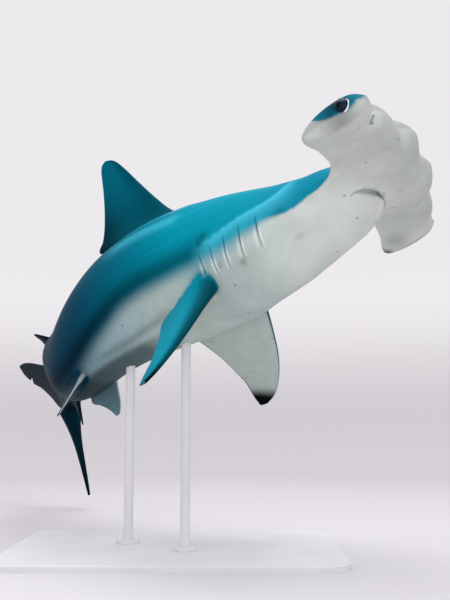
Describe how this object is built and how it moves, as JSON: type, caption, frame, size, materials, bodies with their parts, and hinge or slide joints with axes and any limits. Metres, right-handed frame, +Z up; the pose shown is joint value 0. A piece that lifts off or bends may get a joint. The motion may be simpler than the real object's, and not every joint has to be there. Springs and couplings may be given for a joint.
{
  "type": "hammerhead shark",
  "caption": "Life-size still model of a scalloped hammerhead shark turning as it swims, held on a plain flat base by two upright rods.",
  "frame": {"origin": "the middle of the base's underside, on the floor", "axes": "+Z up; the head points towards +X and -Y, and the tail towards -X and +Y"},
  "size_m": [1.4798, 2.2546, 1.0905],
  "materials": {
    "skin_back": "smooth wet skin, satin",
    "skin_flank": "smooth wet skin, satin",
    "skin_tail": "smooth wet skin, satin",
    "skin_belly": "smooth wet skin, satin",
    "eye": "polished",
    "stand": "pale powder coat"
  },
  "bodies": {
    "root": {"head": "skin_belly", "eye_right": "eye", "eye_left": "eye", "throat_and_gills": "skin_belly", "trunk_middle": "skin_back", "trunk_rear": "skin_flank", "tail_stock": "skin_tail", "first_dorsal_fin": "skin_back", "second_dorsal_fin": "skin_flank", "anal_fin": "skin_flank", "pectoral_fin_right": "skin_back", "pectoral_fin_left": "skin_back", "pelvic_fin_right": "skin_back", "pelvic_fin_left": "skin_back", "caudal_fin_upper_lobe": "skin_tail", "caudal_fin_lower_lobe": "skin_tail", "stand_base": "stand", "stand_rod_front": "stand", "stand_rod_rear": "stand"}
  },
  "joints": []
}
